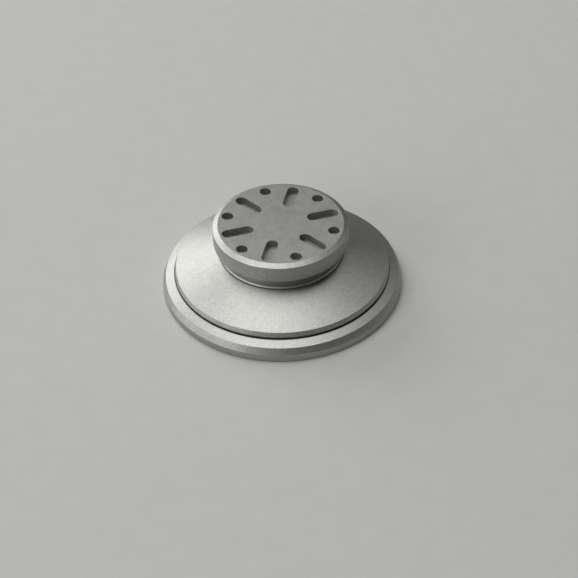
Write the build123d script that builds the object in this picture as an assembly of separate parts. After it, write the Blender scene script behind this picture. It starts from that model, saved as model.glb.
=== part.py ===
from build123d import *
import os
from math import radians, tan

# Record weight: one turned metal body with a stepped foot, a shallow cone and a waisted knob.
# Millimetres. +Z is the turning axis, and z = 0 is the face that the weight rests on.
# A slot of the top pattern lies along +X.

# Foot: a vertical band, a steep skirt above it and a shallow ring that rises to the rim
foot_radius = 44.75
foot_edge_break = 0.3
band_height = 3.05
skirt_height = 2.45
skirt_inset = 1.1
ring_width = 3.25

# Slope of the ring and of the cone, which are parallel
slope_angle = 21.5

# Rim: a steep bevel at the cone's edge. The groove that parts it from the ring reaches in under it:
# its mouth is measured up from the ring's inner edge, and its width in plan, out to that edge.
rim_height = 1.72
rim_inset = 0.6
rim_groove_mouth = 0.82
rim_groove_width = 0.2
rim_groove_depth = 0.5
rim_groove_reach = 0.6

# Neck: the narrowest part, with a small steep bevel at its foot, which stands in a groove of the cone
neck_radius = 22.75
neck_bevel_width = 0.27
neck_bevel_height = 0.6
neck_foot_height = 0.26
neck_groove_width = 0.38
neck_groove_depth = 0.3

# Knob: it flares out from the neck to the grip band, and a chamfer leads to its flat face
flare_width = 2.4
flare_height = 4.6
grip_height = 5.9
chamfer_width = 1.85
chamfer_angle = 27.0

# Width by which each sharp outer corner is broken. The blunt ones, above the band and round the face, stay
edge_break = 0.1

# Top pattern: round recesses and radial slots in turn, all of one width and depth.
# The margin is the flat left between the face's edge and the recesses, at each outer end.
pattern_count = 6
recess_width = 4.2
recess_depth = 2.7
recess_margin = 1.05
recess_edge_break = 0.1
slot_length = 11.9

# Underside: a ring-shaped rest face round a shallow relief
rest_ring_width = 14.45
relief_depth = 0.8

# Spindle hole: drilled from below, a loose fit over a standard centre spindle
spindle_radius = 3.575
spindle_clearance = 0.075
bore_depth = 18.0
bore_lead_in = 0.8
drill_point_angle = 118.0

# Radii and heights that follow from the sizes above
bore_radius = spindle_radius + spindle_clearance
relief_radius = foot_radius - foot_edge_break - rest_ring_width
ring_outer_radius = foot_radius - skirt_inset
ring_inner_radius = ring_outer_radius - ring_width
rim_foot_radius = ring_inner_radius - rim_groove_width
rim_groove_back = rim_foot_radius - rim_groove_reach
rim_radius = rim_foot_radius - rim_inset
neck_foot_radius = neck_radius + neck_bevel_width
cone_inner_radius = neck_foot_radius + neck_groove_width
knob_radius = neck_radius + flare_width
face_radius = knob_radius - chamfer_width
recess_circle_radius = face_radius - recess_margin - recess_width / 2

skirt_top = band_height + skirt_height
ring_top = skirt_top + ring_width * tan(radians(slope_angle))
rim_foot = ring_top + rim_groove_mouth
rim_top = rim_foot + rim_height
cone_top = rim_top + (rim_radius - cone_inner_radius) * tan(radians(slope_angle))
neck_foot_top = cone_top + neck_foot_height
waist_height = neck_foot_top + neck_bevel_height
flare_top = waist_height + flare_height
grip_top = flare_top + grip_height
face_height = grip_top + chamfer_width * tan(radians(chamfer_angle))


def turned(*corners):
    """Solid of revolution round Z. A corner is its radius, its height and the width of its edge break."""
    section = make_face(Polyline(*[(radius, height) for radius, height, width in corners], close=True))
    for radius, height, width in corners:
        if width > 0:
            section = chamfer(section.vertices().sort_by_distance((radius, height))[0], width)
    return revolve(Plane.XZ * section, Axis.Z)


def outer_form():
    """Everything that the lathe shapes from outside, from the rest face up to the knob's face."""
    rim_groove_floor = ring_top - rim_groove_depth
    neck_groove_floor = cone_top - neck_groove_depth
    return turned(
        (0, 0, 0),
        (foot_radius, 0, foot_edge_break),
        (foot_radius, band_height, 0),
        (ring_outer_radius, skirt_top, edge_break),
        (ring_inner_radius, ring_top, edge_break),
        (ring_inner_radius, rim_groove_floor, 0),
        (rim_groove_back, rim_groove_floor, 0),
        (rim_groove_back, rim_foot, 0),
        (rim_foot_radius, rim_foot, edge_break),
        (rim_radius, rim_top, edge_break),
        (cone_inner_radius, cone_top, edge_break),
        (cone_inner_radius, neck_groove_floor, 0),
        (neck_foot_radius, neck_groove_floor, 0),
        (neck_foot_radius, neck_foot_top, 0),
        (neck_radius, waist_height, 0),
        (knob_radius, flare_top, edge_break),
        (knob_radius, grip_top, edge_break),
        (face_radius, face_height, 0),
        (0, face_height, 0),
    )


def spindle_bore():
    """The blind hole for the spindle, with its drill point and the lead-in at its mouth."""
    point_height = bore_radius / tan(radians(drill_point_angle / 2))
    return turned(
        (0, relief_depth, 0),
        (bore_radius + bore_lead_in, relief_depth, 0),
        (bore_radius, relief_depth + bore_lead_in, 0),
        (bore_radius, bore_depth, 0),
        (0, bore_depth + point_height, 0),
    )


def underside_relief():
    """The shallow turned relief that leaves a ring to rest on."""
    return Cylinder(relief_radius, relief_depth, align=(Align.CENTER, Align.CENTER, Align.MIN))


def round_recess():
    """One blind hole, its outer side level with the outer ends of the slots."""
    return extrude(Pos(recess_circle_radius, 0) * Circle(recess_width / 2), recess_depth)


def radial_slot():
    """One blind slot along +X, with round ends."""
    outer_end = recess_circle_radius + recess_width / 2
    return extrude(Pos(outer_end - slot_length / 2, 0) * SlotOverall(slot_length, recess_width), recess_depth)


def top_pattern():
    """Slots and holes in turn, at equal angles, sunk from the knob's face."""
    step = 360 / pattern_count
    sunk = Pos(0, 0, face_height - recess_depth)
    slots = [sunk * Rot(0, 0, index * step) * radial_slot() for index in range(pattern_count)]
    holes = [sunk * Rot(0, 0, (index + 0.5) * step) * round_recess() for index in range(pattern_count)]
    return slots + holes


def weight_body():
    """The whole weight, one solid, with the mouths of its slots and holes broken."""
    body = outer_form() - underside_relief() - spindle_bore() - top_pattern()
    face = body.faces().sort_by(Axis.Z)[-1]
    return chamfer(face.inner_wires().edges(), recess_edge_break)


os.makedirs("parts", exist_ok=True)
export_step(weight_body(), "parts/weight_body.step")
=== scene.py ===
import math

import bpy
from mathutils import Matrix, Vector


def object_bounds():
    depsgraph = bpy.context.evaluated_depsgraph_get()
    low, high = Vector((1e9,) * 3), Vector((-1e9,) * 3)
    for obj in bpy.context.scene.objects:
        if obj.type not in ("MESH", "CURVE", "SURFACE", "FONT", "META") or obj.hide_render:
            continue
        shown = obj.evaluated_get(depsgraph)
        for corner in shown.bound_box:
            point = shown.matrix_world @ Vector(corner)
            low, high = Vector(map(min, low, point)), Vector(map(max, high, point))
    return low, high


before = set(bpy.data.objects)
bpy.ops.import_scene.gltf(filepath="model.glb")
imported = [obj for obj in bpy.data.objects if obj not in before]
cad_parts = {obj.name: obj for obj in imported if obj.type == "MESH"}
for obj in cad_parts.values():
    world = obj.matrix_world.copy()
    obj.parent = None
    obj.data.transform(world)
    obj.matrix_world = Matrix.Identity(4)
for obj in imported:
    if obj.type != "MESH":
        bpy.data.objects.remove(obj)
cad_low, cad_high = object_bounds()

# Bead-blasted turned weight on a plain pale floor. Lengths in the scene are metres,
# and the shaders work in millimetres of the weight's own frame.
MM = 0.001

# Camera: its place round the turning axis, in degrees from +X, and the point of the weight that it faces
PICTURE_SIZE = 578
FOCAL_PIXELS = 1759.1
SENSOR_WIDTH = 36.0
CAMERA_AZIMUTH = -105.2
CAMERA_ELEVATION = 40.24
CAMERA_DISTANCE = 664.2 * MM
CAMERA_ROLL = -1.58
AIM_POINT = Vector((-2.0, -16.34, 10.0)) * MM
NEAREST_VIEW = 10 * MM

# Corners of the turned section, as radius and height in millimetres. The CAD box gives the largest of each.
FOOT_RADIUS = cad_high.x / MM
FACE_HEIGHT = cad_high.z / MM
BAND_TOP = (FOOT_RADIUS, 3.05)
SKIRT_TOP = (43.65, 5.5)
RING_LIP = (40.4, 6.78)
RIM_FOOT = (40.2, 7.6)
RIM_TOP = (39.6, 9.32)
CONE_LIP = (23.4, 15.7)
NECK_FOOT = (23.02, 15.96)
FLARE_TOP = (25.15, 21.16)
GRIP_TOP = (25.15, 27.06)
FACE_EDGE = (23.3, FACE_HEIGHT)
OUTER_CORNERS = (BAND_TOP, SKIRT_TOP, RING_LIP, RIM_FOOT, RIM_TOP, CONE_LIP, FLARE_TOP, GRIP_TOP, FACE_EDGE)

# Narrow grooves at the foot of the rim and of the neck. The margin takes in walls that lie on a limit.
RIM_GROOVE_BACK = 39.6
RIM_GROOVE_DEPTH = 0.5
NECK_GROOVE_DEPTH = 0.3
GROOVE_MARGIN = 0.04

# Slots and holes of the face in turn, with a slot along +X and equal angles from the one to the other
RECESS_DEPTH = 2.7
RECESS_RADIUS = 2.1
HOLE_CIRCLE = 20.15
SLOT_INNER_END = 12.45
SLOT_TO_HOLE = math.radians(30)

# Where wear and painted shade start and are full in the slots and holes, in millimetres: from the wall in
# plan, negative inside it, and below the face
MOUTH_WEAR_SPAN = (0.28, 0.05)
MOUTH_WEAR_DEPTH = (0.3, 0.05)
RECESS_LIMIT = (0.15, 0.05)
WALL_SHADE_SPAN = (-0.5, -0.04)
WALL_SHADE_DEPTH = (0.1, 1.2)
RECESS_FLOOR_MARGIN = 0.1

# Turned surfaces that the blasting doesn't reach: the underside and the spindle hole
UNDERSIDE_HEIGHT = 0.9
UNDERSIDE_RADIUS = 44.4
BORE_REACH = 4.5
BORE_TOP = 20.5
TOOL_MARK_PITCH = 0.8
TOOL_MARK_DEPTH = 0.05

# Steel, from the blasted ground tone to its worn corners, and the painted shade in its grooves and hollows
STEEL_DARK = (0.325, 0.323, 0.308, 1)
STEEL_LIGHT = (0.485, 0.482, 0.460, 1)
STEEL_WORN = (0.600, 0.596, 0.570, 1)
STEEL_PAINTED_SHADE = (0.120, 0.119, 0.112, 1)
STEEL_TURNED = (0.520, 0.517, 0.494, 1)
STEEL_ROUGHNESS = 0.45

# Sizes and depth of the steel's unevenness, in millimetres
GRAIN_SIZE = 0.55
GRAIN_DEPTH = 0.052
MOTTLE_SIZE = 2.4
SMUDGE_SIZE = 14.0
WEAR_PATCH_SIZE = 3.0
WEAR_REACH = 0.22

# Fineness of the noises, and the part of each one's range that is stretched from 0 to 1
FINE_DETAIL = 3.0
SOFT_DETAIL = 2.0
GRAIN_SPREAD = (0.25, 0.75)
SMUDGE_SPREAD = (0.3, 0.7)
WEAR_PATCH_SPREAD = (0.3, 0.65)
TOOL_MARK_SPREAD = (0.35, 0.65)

# Shares of the pits, the mottling and the smudges in the steel's tone
GRAIN_TONE = 0.65
MOTTLE_TONE = 0.25
SMUDGE_TONE = 0.1

# Strength of wear and of painted shade. A least value is the share that stays where wear, marks or pits are
# weakest.
WEAR_STRENGTH = 0.6
WEAR_LEAST = 0.4
RIM_GROOVE_SHADE = 0.75
NECK_GROOVE_SHADE = 0.2
RECESS_SHADE = 0.2
TOOL_MARK_LEAST = 0.4
TURNED_GRAIN_LEAST = 0.2

# What each adds to the roughness, or takes from it
MOTTLE_DULLING = 0.03
SMUDGE_DULLING = 0.015
HOLLOW_DULLING = 0.15
WEAR_POLISH = 0.1
TURNING_POLISH = 0.12

# Floor board: its width in metres, its grain in millimetres
FLOOR_WIDTH = 6.0
BOARD_DARK = (0.500, 0.500, 0.490, 1)
BOARD_LIGHT = (0.530, 0.530, 0.520, 1)
BOARD_GRAIN_SIZE = 0.6
BOARD_GRAIN_DEPTH = 0.01
BOARD_MOTTLE_SIZE = 9.0
BOARD_MOTTLE_DULLING = 0.06
BOARD_ROUGHNESS = 0.86
BOARD_GLOSS = 0.1

# Soft boxes: degrees to the right of the camera and above the floor, width and height in metres, and watts
LAMP_DISTANCE = 2.2
LAMP_TARGET = Vector((0, 0, 10.0)) * MM
SOFT_BOXES = {
    "left_back": (-140, 25, 1.7, 1.3, 22.4),
    "left_low": (-95, 8, 1.4, 0.56, 12.0),
    "left_front": (-52, 20, 1.2, 1.2, 13.6),
    "overhead": (-120, 80, 2.2, 2.0, 33.6),
    "right_back": (143, 48, 1.5, 1.2, 3.0),
    "front_fill": (-15, 25, 1.0, 1.0, 2.0),
}
SURROUND_GREY = (0.6, 0.6, 0.6, 1)
SURROUND_STRENGTH = 0.02

# Kinds of group socket, and the places of a Mix node's colour sockets
FLOAT = "NodeSocketFloat"
VECTOR = "NodeSocketVector"
MIX_AMOUNT, MIX_FIRST, MIX_SECOND = 0, 6, 7
MIX_RESULT = 2


class Field:
    """A number that changes over a surface. Arithmetic on fields adds math nodes to their tree."""

    def __init__(self, tree, socket):
        self.tree = tree
        self.socket = socket

    def math(self, operation, *others):
        """The result of a math node that takes this field first and then the others."""
        node = self.tree.nodes.new("ShaderNodeMath")
        node.operation = operation
        for slot, value in zip(node.inputs, (self, *others)):
            feed(self.tree, slot, value)
        return Field(self.tree, node.outputs[0])

    def __add__(self, other):
        return self.math("ADD", other)

    def __sub__(self, other):
        return self.math("SUBTRACT", other)

    def __mul__(self, other):
        return self.math("MULTIPLY", other)

    def ramp(self, start, end):
        """A smooth step: 0 at start, 1 at end."""
        node = self.tree.nodes.new("ShaderNodeMapRange")
        node.interpolation_type = "SMOOTHSTEP"
        feed(self.tree, node.inputs["Value"], self)
        feed(self.tree, node.inputs["From Min"], start)
        feed(self.tree, node.inputs["From Max"], end)
        return Field(self.tree, node.outputs["Result"])

    def no_less_than(self, least):
        """This field from 0 to 1, squeezed to run from the least value to 1."""
        return self * (1.0 - least) + least


def feed(tree, slot, value):
    """Link an input to a field or an output, or set it to a plain value."""
    if isinstance(value, Field):
        value = value.socket
    if isinstance(value, bpy.types.NodeSocket):
        tree.links.new(value, slot)
    else:
        slot.default_value = value


def new_group(name, inputs, outputs):
    """A node group with named sockets. Returns it with its given fields and its output node."""
    group = bpy.data.node_groups.new(name, "ShaderNodeTree")
    for title, kind in inputs.items():
        group.interface.new_socket(title, in_out="INPUT", socket_type=kind)
    for title in outputs:
        group.interface.new_socket(title, in_out="OUTPUT", socket_type=FLOAT)
    entry = group.nodes.new("NodeGroupInput")
    given = {title: Field(group, entry.outputs[title]) for title in inputs}
    return group, given, group.nodes.new("NodeGroupOutput")


def place_group(tree, group, **values):
    """One copy of a group with its own values. Returns its outputs as fields, by name."""
    node = tree.nodes.new("ShaderNodeGroup")
    node.node_tree = group
    for title, value in values.items():
        feed(tree, node.inputs[title.replace("_", " ")], value)
    return {output.name: Field(tree, output) for output in node.outputs}


def noise(tree, position, size, detail):
    """Soft noise with lumps of about the given size in millimetres, from 0 to 1."""
    node = tree.nodes.new("ShaderNodeTexNoise")
    scale = size.math("POWER", -1.0) if isinstance(size, Field) else 1 / size
    feed(tree, node.inputs["Vector"], position)
    feed(tree, node.inputs["Scale"], scale)
    feed(tree, node.inputs["Detail"], detail)
    return Field(tree, node.outputs["Fac"])


def fine_grain_group():
    """Fine pits with a soft mottling over them, for any matt surface."""
    group, given, result = new_group(
        "fine_grain",
        {"Position": VECTOR, "Grain Size": FLOAT, "Mottle Size": FLOAT},
        ("Height", "Grain", "Mottle"),
    )
    pits = noise(group, given["Position"], given["Grain Size"], FINE_DETAIL)
    mottle = noise(group, given["Position"], given["Mottle Size"], SOFT_DETAIL)
    feed(group, result.inputs["Height"], pits)
    feed(group, result.inputs["Grain"], pits.ramp(*GRAIN_SPREAD))
    feed(group, result.inputs["Mottle"], mottle.ramp(*GRAIN_SPREAD))
    return group


def corner_wear_group():
    """Wear along one turned corner: 1 on the corner, 0 from the reach on."""
    group, given, result = new_group(
        "corner_wear",
        {"Radius": FLOAT, "Height": FLOAT, "Corner Radius": FLOAT, "Corner Height": FLOAT, "Reach": FLOAT},
        ("Wear",),
    )
    across = given["Radius"] - given["Corner Radius"]
    up = given["Height"] - given["Corner Height"]
    distance = (across * across + up * up).math("SQRT")
    feed(group, result.inputs["Wear"], distance.ramp(given["Reach"], 0.0))
    return group


def groove_shade_group():
    """Painted shade in one turned groove: 0 at its mouth, 1 at its floor."""
    group, given, result = new_group(
        "groove_shade",
        {"Radius": FLOAT, "Height": FLOAT, "Inner": FLOAT, "Outer": FLOAT, "Mouth": FLOAT, "Depth": FLOAT},
        ("Shade",),
    )
    inside = (given["Radius"] - given["Inner"]).math("GREATER_THAN", -GROOVE_MARGIN)
    inside = inside * (given["Outer"] - given["Radius"]).math("GREATER_THAN", -GROOVE_MARGIN)
    below = given["Mouth"] - given["Height"]
    inside = inside * (given["Depth"] - below).math("GREATER_THAN", -GROOVE_MARGIN)
    feed(group, result.inputs["Shade"], inside * below.ramp(0.0, given["Depth"]))
    return group


def mix_colour(tree, amount, first, second):
    """A colour between two, by a field from 0 to 1."""
    node = tree.nodes.new("ShaderNodeMix")
    node.data_type = "RGBA"
    feed(tree, node.inputs[MIX_AMOUNT], amount)
    feed(tree, node.inputs[MIX_FIRST], first)
    feed(tree, node.inputs[MIX_SECOND], second)
    return node.outputs[MIX_RESULT]


def bump(tree, height, depth, normal=None):
    """Relief of the given depth in millimetres, over an earlier relief where there is one."""
    node = tree.nodes.new("ShaderNodeBump")
    feed(tree, node.inputs["Height"], height)
    node.inputs["Distance"].default_value = depth * MM
    if normal is not None:
        feed(tree, node.inputs["Normal"], normal)
    return node.outputs["Normal"]


def surface_position(tree):
    """Place on the surface in millimetres of its own frame."""
    coordinates = tree.nodes.new("ShaderNodeTexCoord")
    scale = tree.nodes.new("ShaderNodeVectorMath")
    scale.operation = "SCALE"
    feed(tree, scale.inputs[0], coordinates.outputs["Object"])
    scale.inputs["Scale"].default_value = 1 / MM
    return scale.outputs[0]


def lathe_place(tree, position):
    """The place's x and y, its radius from the turning axis and its height."""
    parts = tree.nodes.new("ShaderNodeSeparateXYZ")
    feed(tree, parts.inputs[0], position)
    x, y, height = (Field(tree, output) for output in parts.outputs)
    radius = (x * x + y * y).math("SQRT")
    return x, y, radius, height


def corner_wear(tree, group, radius, height):
    """The strongest wear of all the turned corners."""
    worn = None
    for corner_radius, corner_height in OUTER_CORNERS:
        here = place_group(tree, group, Radius=radius, Height=height, Corner_Radius=corner_radius,
                           Corner_Height=corner_height, Reach=WEAR_REACH)["Wear"]
        worn = here if worn is None else worn.math("MAXIMUM", here)
    return worn


def groove_shade(tree, group, radius, height):
    """Painted shade of the rim groove and, fainter, of the neck groove."""
    rim = place_group(tree, group, Radius=radius, Height=height, Inner=RIM_GROOVE_BACK, Outer=RING_LIP[0],
                      Mouth=RING_LIP[1], Depth=RIM_GROOVE_DEPTH)["Shade"]
    neck = place_group(tree, group, Radius=radius, Height=height, Inner=NECK_FOOT[0], Outer=CONE_LIP[0],
                       Mouth=CONE_LIP[1], Depth=NECK_GROOVE_DEPTH)["Shade"]
    return (rim * RIM_GROOVE_SHADE).math("MAXIMUM", neck * NECK_GROOVE_SHADE)


def recess_distance(x, y, radius):
    """Distance in plan to the nearest slot or hole wall of the face, negative inside a recess."""
    # The plan is folded into one wedge, with the middle of a slot along one side and of a hole on the other
    angle = y.math("ARCTAN2", x)
    folded = angle.math("PINGPONG", SLOT_TO_HOLE)
    along = radius * folded.math("COSINE")
    aside = radius * folded.math("SINE")
    nearest = along.math("MAXIMUM", SLOT_INNER_END).math("MINIMUM", HOLE_CIRCLE)
    past_end = along - nearest
    to_slot = (past_end * past_end + aside * aside).math("SQRT")
    hole_along = along - HOLE_CIRCLE * math.cos(SLOT_TO_HOLE)
    hole_aside = aside - HOLE_CIRCLE * math.sin(SLOT_TO_HOLE)
    to_hole = (hole_along * hole_along + hole_aside * hole_aside).math("SQRT")
    return to_slot.math("MINIMUM", to_hole) - RECESS_RADIUS


def recess_masks(x, y, radius, height):
    """Wear round the mouths of the slots and holes, and painted shade on their walls and in their lower
    corners.
    """
    distance = recess_distance(x, y, radius)
    below_face = height * -1.0 + FACE_HEIGHT
    mouth = distance.math("ABSOLUTE").ramp(*MOUTH_WEAR_SPAN) * below_face.ramp(*MOUTH_WEAR_DEPTH)
    above_floor = height.math("GREATER_THAN", FACE_HEIGHT - RECESS_DEPTH - RECESS_FLOOR_MARGIN)
    within = distance.ramp(*RECESS_LIMIT) * above_floor
    wall = distance.ramp(*WALL_SHADE_SPAN) * below_face.ramp(*WALL_SHADE_DEPTH) * within
    return mouth, wall


def tool_marks(tree, radius, height):
    """Where the surface is only turned, and the fine rings that the tool left there."""
    under = height.math("LESS_THAN", UNDERSIDE_HEIGHT) * radius.math("LESS_THAN", UNDERSIDE_RADIUS)
    bore = radius.math("LESS_THAN", BORE_REACH) * height.math("LESS_THAN", BORE_TOP)
    turned = under.math("MAXIMUM", bore)
    rings = tree.nodes.new("ShaderNodeTexNoise")
    rings.noise_dimensions = "1D"
    feed(tree, rings.inputs["W"], (radius + height) * (1 / TOOL_MARK_PITCH))
    rings.inputs["Detail"].default_value = FINE_DETAIL
    return turned, Field(tree, rings.outputs["Fac"]).ramp(*TOOL_MARK_SPREAD)


def blasted_steel(grain_group, wear_group, shade_group):
    """Bead-blasted steel: fine grain, worn corners, painted shade in the grooves and on the recess walls,
    and bare turning on the underside.
    """
    material = bpy.data.materials.new("blasted_steel")
    material.use_nodes = True
    tree = material.node_tree
    shader = tree.nodes["Principled BSDF"]
    position = surface_position(tree)
    x, y, radius, height = lathe_place(tree, position)

    grain = place_group(tree, grain_group, Position=position, Grain_Size=GRAIN_SIZE, Mottle_Size=MOTTLE_SIZE)
    smudge = noise(tree, position, SMUDGE_SIZE, FINE_DETAIL).ramp(*SMUDGE_SPREAD)
    mouth, recess_wall_shade = recess_masks(x, y, radius, height)
    patches = noise(tree, position, WEAR_PATCH_SIZE, FINE_DETAIL).ramp(*WEAR_PATCH_SPREAD)
    worn = corner_wear(tree, wear_group, radius, height).math("MAXIMUM", mouth)
    worn = worn * patches.no_less_than(WEAR_LEAST)
    # Painted shade: a darker colour in the rim and neck grooves and on the upper walls of the slots and
    # holes
    painted_shade = groove_shade(tree, shade_group, radius, height).math("MAXIMUM", recess_wall_shade * RECESS_SHADE)
    turned, rings = tool_marks(tree, radius, height)

    tone = grain["Grain"] * GRAIN_TONE + grain["Mottle"] * MOTTLE_TONE + smudge * SMUDGE_TONE
    colour = mix_colour(tree, tone, STEEL_DARK, STEEL_LIGHT)
    colour = mix_colour(tree, worn * WEAR_STRENGTH, colour, STEEL_WORN)
    colour = mix_colour(tree, turned * rings.no_less_than(TOOL_MARK_LEAST), colour, STEEL_TURNED)
    # The painted shade is mixed into the colour here
    colour = mix_colour(tree, painted_shade, colour, STEEL_PAINTED_SHADE)
    feed(tree, shader.inputs["Base Color"], colour)
    shader.inputs["Metallic"].default_value = 1.0

    smoothest = STEEL_ROUGHNESS - (MOTTLE_DULLING + SMUDGE_DULLING) / 2
    roughness = grain["Mottle"] * MOTTLE_DULLING + smudge * SMUDGE_DULLING + smoothest
    roughness = roughness - worn * WEAR_POLISH - turned * TURNING_POLISH + painted_shade * HOLLOW_DULLING
    feed(tree, shader.inputs["Roughness"], roughness)

    pit_strength = turned * (TURNED_GRAIN_LEAST - 1.0) + 1.0
    relief = bump(tree, grain["Height"] * pit_strength, GRAIN_DEPTH)
    relief = bump(tree, rings * turned, TOOL_MARK_DEPTH, relief)
    feed(tree, shader.inputs["Normal"], relief)
    return material


def floor_board(grain_group):
    """Matt pale board with a faint grain."""
    material = bpy.data.materials.new("floor_board")
    material.use_nodes = True
    tree = material.node_tree
    shader = tree.nodes["Principled BSDF"]
    grain = place_group(tree, grain_group, Position=surface_position(tree), Grain_Size=BOARD_GRAIN_SIZE,
                        Mottle_Size=BOARD_MOTTLE_SIZE)
    tone = (grain["Grain"] + grain["Mottle"]) * 0.5
    feed(tree, shader.inputs["Base Color"], mix_colour(tree, tone, BOARD_DARK, BOARD_LIGHT))
    feed(tree, shader.inputs["Roughness"], grain["Mottle"] * BOARD_MOTTLE_DULLING + BOARD_ROUGHNESS)
    shader.inputs["Specular IOR Level"].default_value = BOARD_GLOSS
    feed(tree, shader.inputs["Normal"], bump(tree, grain["Height"], BOARD_GRAIN_DEPTH))
    return material


def make_floor(material):
    """A plain floor under the rest face."""
    half = FLOOR_WIDTH / 2
    corners = [(-half, -half, 0), (half, -half, 0), (half, half, 0), (-half, half, 0)]
    mesh = bpy.data.meshes.new("floor")
    mesh.from_pydata(corners, [], [(0, 1, 2, 3)])
    mesh.materials.append(material)
    floor = bpy.data.objects.new("floor", mesh)
    bpy.context.scene.collection.objects.link(floor)


def from_camera(azimuth, elevation, distance):
    """A place round the weight, by degrees to the right of the camera and degrees above the floor."""
    turn = math.radians(CAMERA_AZIMUTH + azimuth)
    rise = math.radians(elevation)
    flat = math.cos(rise)
    return Vector((math.cos(turn) * flat, math.sin(turn) * flat, math.sin(rise))) * distance


def look_at(place, target, roll=0.0):
    """World matrix of a camera or lamp that stands at place and faces target."""
    aim = (target - place).to_track_quat("-Z", "Y").to_matrix().to_4x4()
    return Matrix.Translation(place) @ aim @ Matrix.Rotation(math.radians(roll), 4, "Z")


def make_camera():
    """The scene's camera, with a long lens."""
    data = bpy.data.cameras.new("camera")
    data.sensor_width = SENSOR_WIDTH
    data.lens = FOCAL_PIXELS / PICTURE_SIZE * SENSOR_WIDTH
    data.clip_start = NEAREST_VIEW
    camera = bpy.data.objects.new("camera", data)
    bpy.context.scene.collection.objects.link(camera)
    camera.matrix_world = look_at(from_camera(0, CAMERA_ELEVATION, CAMERA_DISTANCE), AIM_POINT, CAMERA_ROLL)
    bpy.context.scene.camera = camera


def soft_box(name, azimuth, elevation, width, height, power):
    """One soft box that faces the weight."""
    data = bpy.data.lights.new(name, "AREA")
    data.shape = "RECTANGLE"
    data.size = width
    data.size_y = height
    data.energy = power
    lamp = bpy.data.objects.new(name, data)
    bpy.context.scene.collection.objects.link(lamp)
    lamp.matrix_world = look_at(from_camera(azimuth, elevation, LAMP_DISTANCE), LAMP_TARGET)


def light_studio():
    """Large soft boxes, most of them at the left and above, and a faint even surround."""
    for name, setting in SOFT_BOXES.items():
        soft_box(name, *setting)
    world = bpy.data.worlds.new("surround")
    bpy.context.scene.world = world
    world.use_nodes = True
    background = world.node_tree.nodes["Background"]
    background.inputs["Color"].default_value = SURROUND_GREY
    background.inputs["Strength"].default_value = SURROUND_STRENGTH
    bpy.context.scene.view_settings.view_transform = "Standard"


fine_grain = fine_grain_group()
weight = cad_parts["weight_body"]
weight.material_slots[0].material = blasted_steel(fine_grain, corner_wear_group(), groove_shade_group())
make_floor(floor_board(fine_grain))
light_studio()
make_camera()
